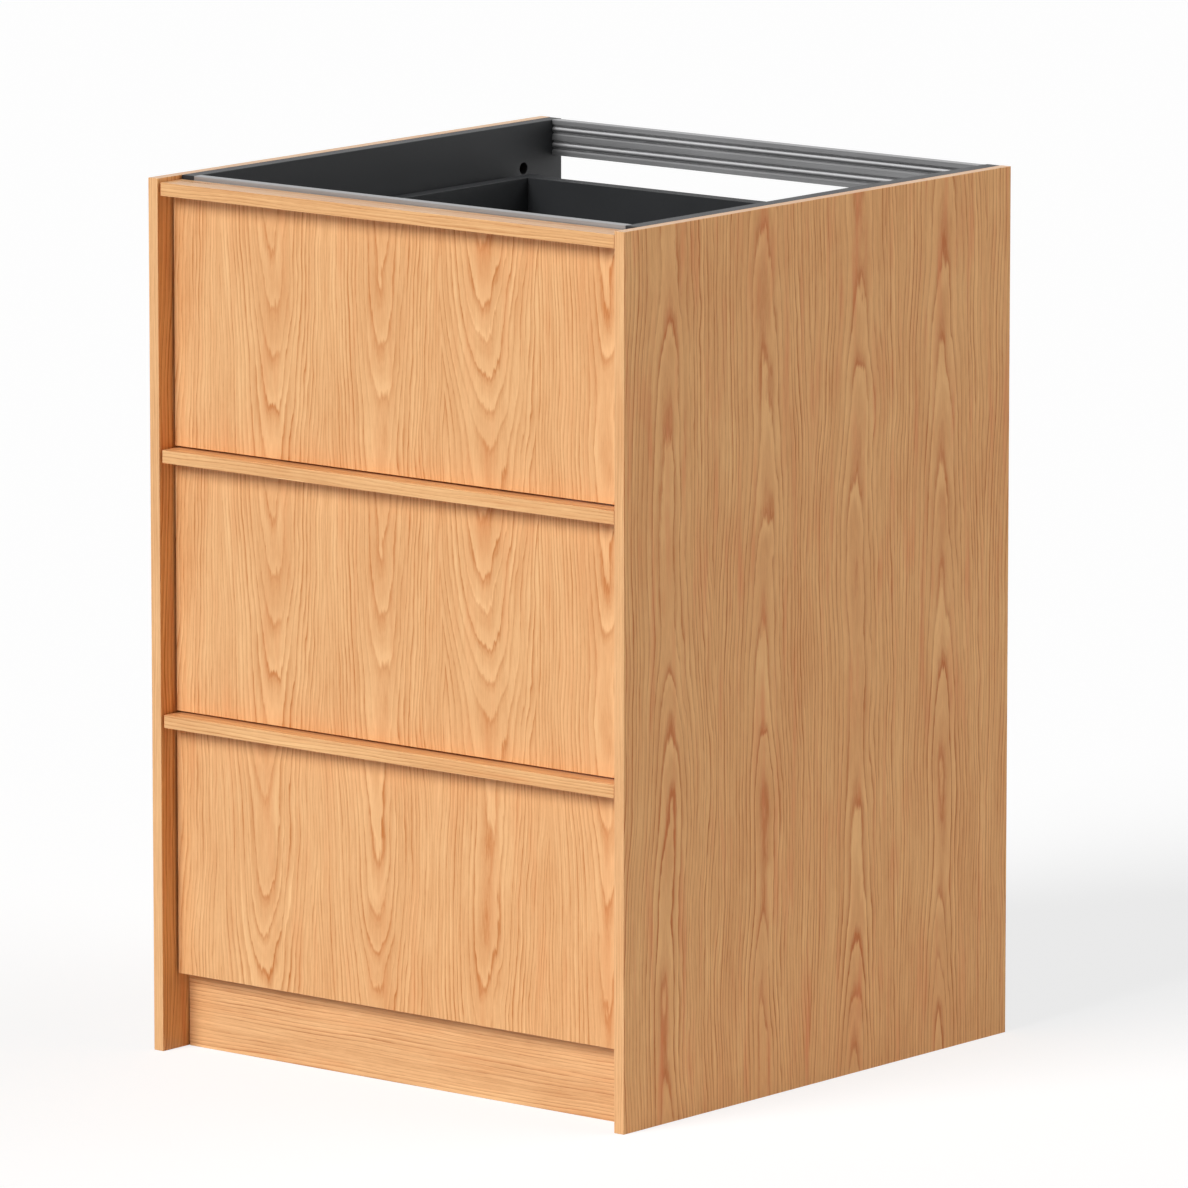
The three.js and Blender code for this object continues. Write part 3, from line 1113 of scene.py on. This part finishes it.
BOX_BOARDS = (
    {"board": "left_side", "along": 1, "inner": 1},
    {"board": "right_side", "along": 1, "inner": -1},
    {"board": "box_front", "along": 0, "inner": 1},
    {"board": "back", "along": 0, "inner": -1},
)
FRONT_SCREW_R = 0.0045
FRONT_SCREW_RISE = 0.0022
FRONT_SCREWS_ASIDE = (-0.205, -0.070, 0.070, 0.205)
FRONT_SCREW_HEIGHTS = (0.045, 0.140)
BUMPER_R = 0.0045
BUMPER_RISE = 0.0016
BUMPER_ASIDE = 0.279
BUMPER_HEIGHTS = (0.020, 0.229)


def grooved_board(low, high, along, inner, ease):
    """A drawer board between two corners, long in the axis named, with the bottom's groove
    in the face that looks to the inner side."""
    across = 1 - along
    face, outer = (high, low) if inner > 0 else (low, high)
    face, outer = face[across], outer[across]
    root = face - inner * GROOVE_DEPTH
    section = [
        (outer, low.z),
        (face, low.z),
        (face, low.z + GROOVE_LOW),
        (root, low.z + GROOVE_LOW),
        (root, low.z + GROOVE_HIGH),
        (face, low.z + GROOVE_HIGH),
        (face, high.z),
        (outer, high.z),
    ]
    shape = section_run(section, across, along, low[along], high[along])
    ease_edges(shape, shape.edges[:], ease)
    return shape


front_screw = kept_mesh(cross_head(FRONT_SCREW_R, FRONT_SCREW_RISE), "front screw head")
bumper_profile = [
    (0, 0), (BUMPER_R, 0), (BUMPER_R, 0.0004), (0.92 * BUMPER_R, 0.0009),
    (0.70 * BUMPER_R, 0.0014), (0.40 * BUMPER_R, BUMPER_RISE), (0, BUMPER_RISE),
]
bumper = kept_mesh(turned(bumper_profile, steps=24), "bumper")

for drawer in DRAWERS:
    number = drawer["number"]
    body = f"drawer_{number}"
    front_low = (0, 0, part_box(f"{body}_front")[0].z)
    front_oak = crown_cut_oak(
        f"oak front {number}",
        UPRIGHT_FRONT,
        front_low,
        drawer["leaves"],
        drawer["seed"],
        FRONT_TONE,
    )
    add_piece(
        eased_board(*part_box(f"{body}_front"), EASE),
        f"oak_front_{number}",
        (band_upright, front_oak, band_level),
        body,
        "oak",
        f"{body}_front",
    )
    ledge_oak = straight_oak(f"oak ledge {number}", LEVEL, 30.0 + 3 * number, LEDGE_TONE)
    add_piece(
        eased_board(*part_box(f"{body}_grip_ledge"), EASE),
        f"oak_grip_ledge_{number}",
        (band_level, ledge_oak, ledge_oak),
        body,
        "oak",
        f"{body}_grip_ledge",
    )
    for part in BOX_BOARDS:
        node = f"{body}_{part['board']}"
        add_piece(
            grooved_board(*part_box(node), part["along"], part["inner"], BOARD_EASE),
            f"box_{part['board']}_{number}",
            (board_face,),
            body,
            "anthracite_board",
            node,
        )
    add_piece(
        eased_board(*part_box(f"{body}_bottom"), BOARD_EASE),
        f"box_bottom_{number}",
        (board_face,) * 3,
        body,
        "anthracite_board",
        f"{body}_bottom",
    )
    box_low, box_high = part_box(f"{body}_box_front")
    places = [
        facing((aside, box_high.y, box_low.z + height), 1, 1)
        for aside in FRONT_SCREWS_ASIDE
        for height in FRONT_SCREW_HEIGHTS
    ]
    add_piece(
        copies((front_screw, places)), f"front_screws_{number}", (zinc,), body, "zinced_steel"
    )
    low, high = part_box(f"{body}_front")
    places = [
        facing((aside, high.y, low.z + height), 1, 1)
        for aside in (-BUMPER_ASIDE, BUMPER_ASIDE)
        for height in BUMPER_HEIGHTS
    ]
    add_piece(
        copies((bumper, places)), f"front_bumpers_{number}", (plastic,), body, "black_plastic"
    )
